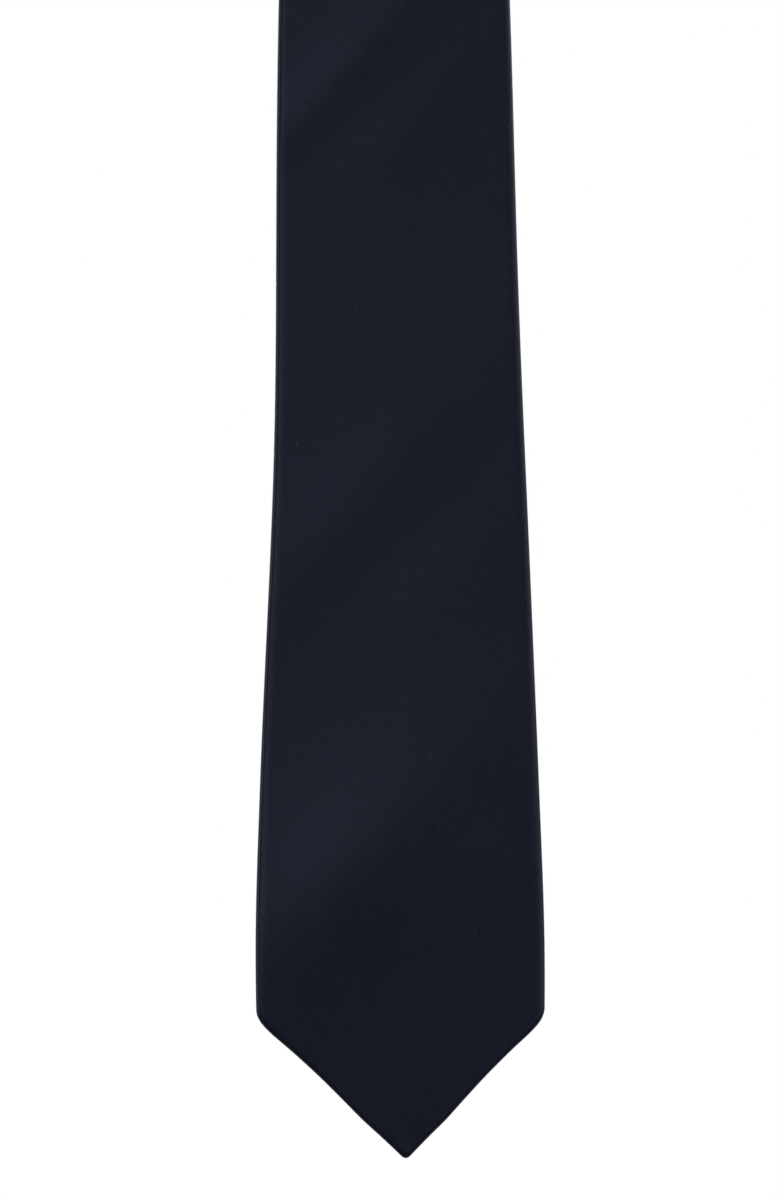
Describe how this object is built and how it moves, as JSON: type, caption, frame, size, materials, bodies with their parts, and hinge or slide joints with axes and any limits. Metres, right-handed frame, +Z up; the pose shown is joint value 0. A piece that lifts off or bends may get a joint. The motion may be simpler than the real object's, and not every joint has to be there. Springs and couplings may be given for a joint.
{
  "type": "necktie",
  "caption": "Plain navy satin necktie hung over a rail, with a wide pointed front blade, a narrower tail, a lined back and a keeper loop.",
  "frame": {"origin": "on the axis of the rail that carries the fold, halfway across the tie", "axes": "+Z up, -Y out of the front blade's face, X across the tie along the rail"},
  "size_m": [0.085, 0.0226, 0.7857],
  "materials": {
    "navy_satin": "smooth dark navy silk satin cut on the bias",
    "navy_lining": "thin dark navy lining",
    "wool_interlining": "undyed brushed wool blend",
    "navy_thread": "dark navy sewing thread",
    "ivory_label": "blank ivory woven tape"
  },
  "bodies": {
    "neck": {"neck_gusset_shell": "navy_satin", "neck_interlining": "wool_interlining", "neck_slip_stitch": "navy_thread", "front_seam_thread": "navy_thread", "tail_seam_thread": "navy_thread"},
    "front_blade": {"front_blade_shell": "navy_satin", "front_interlining": "wool_interlining", "front_tipping": "navy_lining", "front_slip_stitch": "navy_thread", "front_bar_tack": "navy_thread", "keeper_loop": "navy_satin", "keeper_tack_left": "navy_thread", "keeper_tack_right": "navy_thread", "care_label_stitch": "navy_thread"},
    "care_label": {"care_label": "ivory_label"},
    "tail": {"tail_blade_shell": "navy_satin", "tail_interlining": "wool_interlining", "tail_tipping": "navy_lining", "tail_slip_stitch": "navy_thread", "tail_bar_tack": "navy_thread"}
  },
  "joints": [
    {"name": "front_blade_swing", "type": "hinge", "parent": "neck", "child": "front_blade", "pos_m": [0, -0.0114, -0.075], "axis": [-1, 0, 0], "range_deg": [0, 120]},
    {"name": "tail_blade_swing", "type": "hinge", "parent": "neck", "child": "tail", "pos_m": [0, 0.0114, -0.14], "axis": [1, 0, 0], "range_deg": [0, 120]},
    {"name": "care_label_flip", "type": "hinge", "parent": "front_blade", "child": "care_label", "pos_m": [0, -0.0081, -0.702], "axis": [1, 0, 0], "range_deg": [0, 150]}
  ]
}
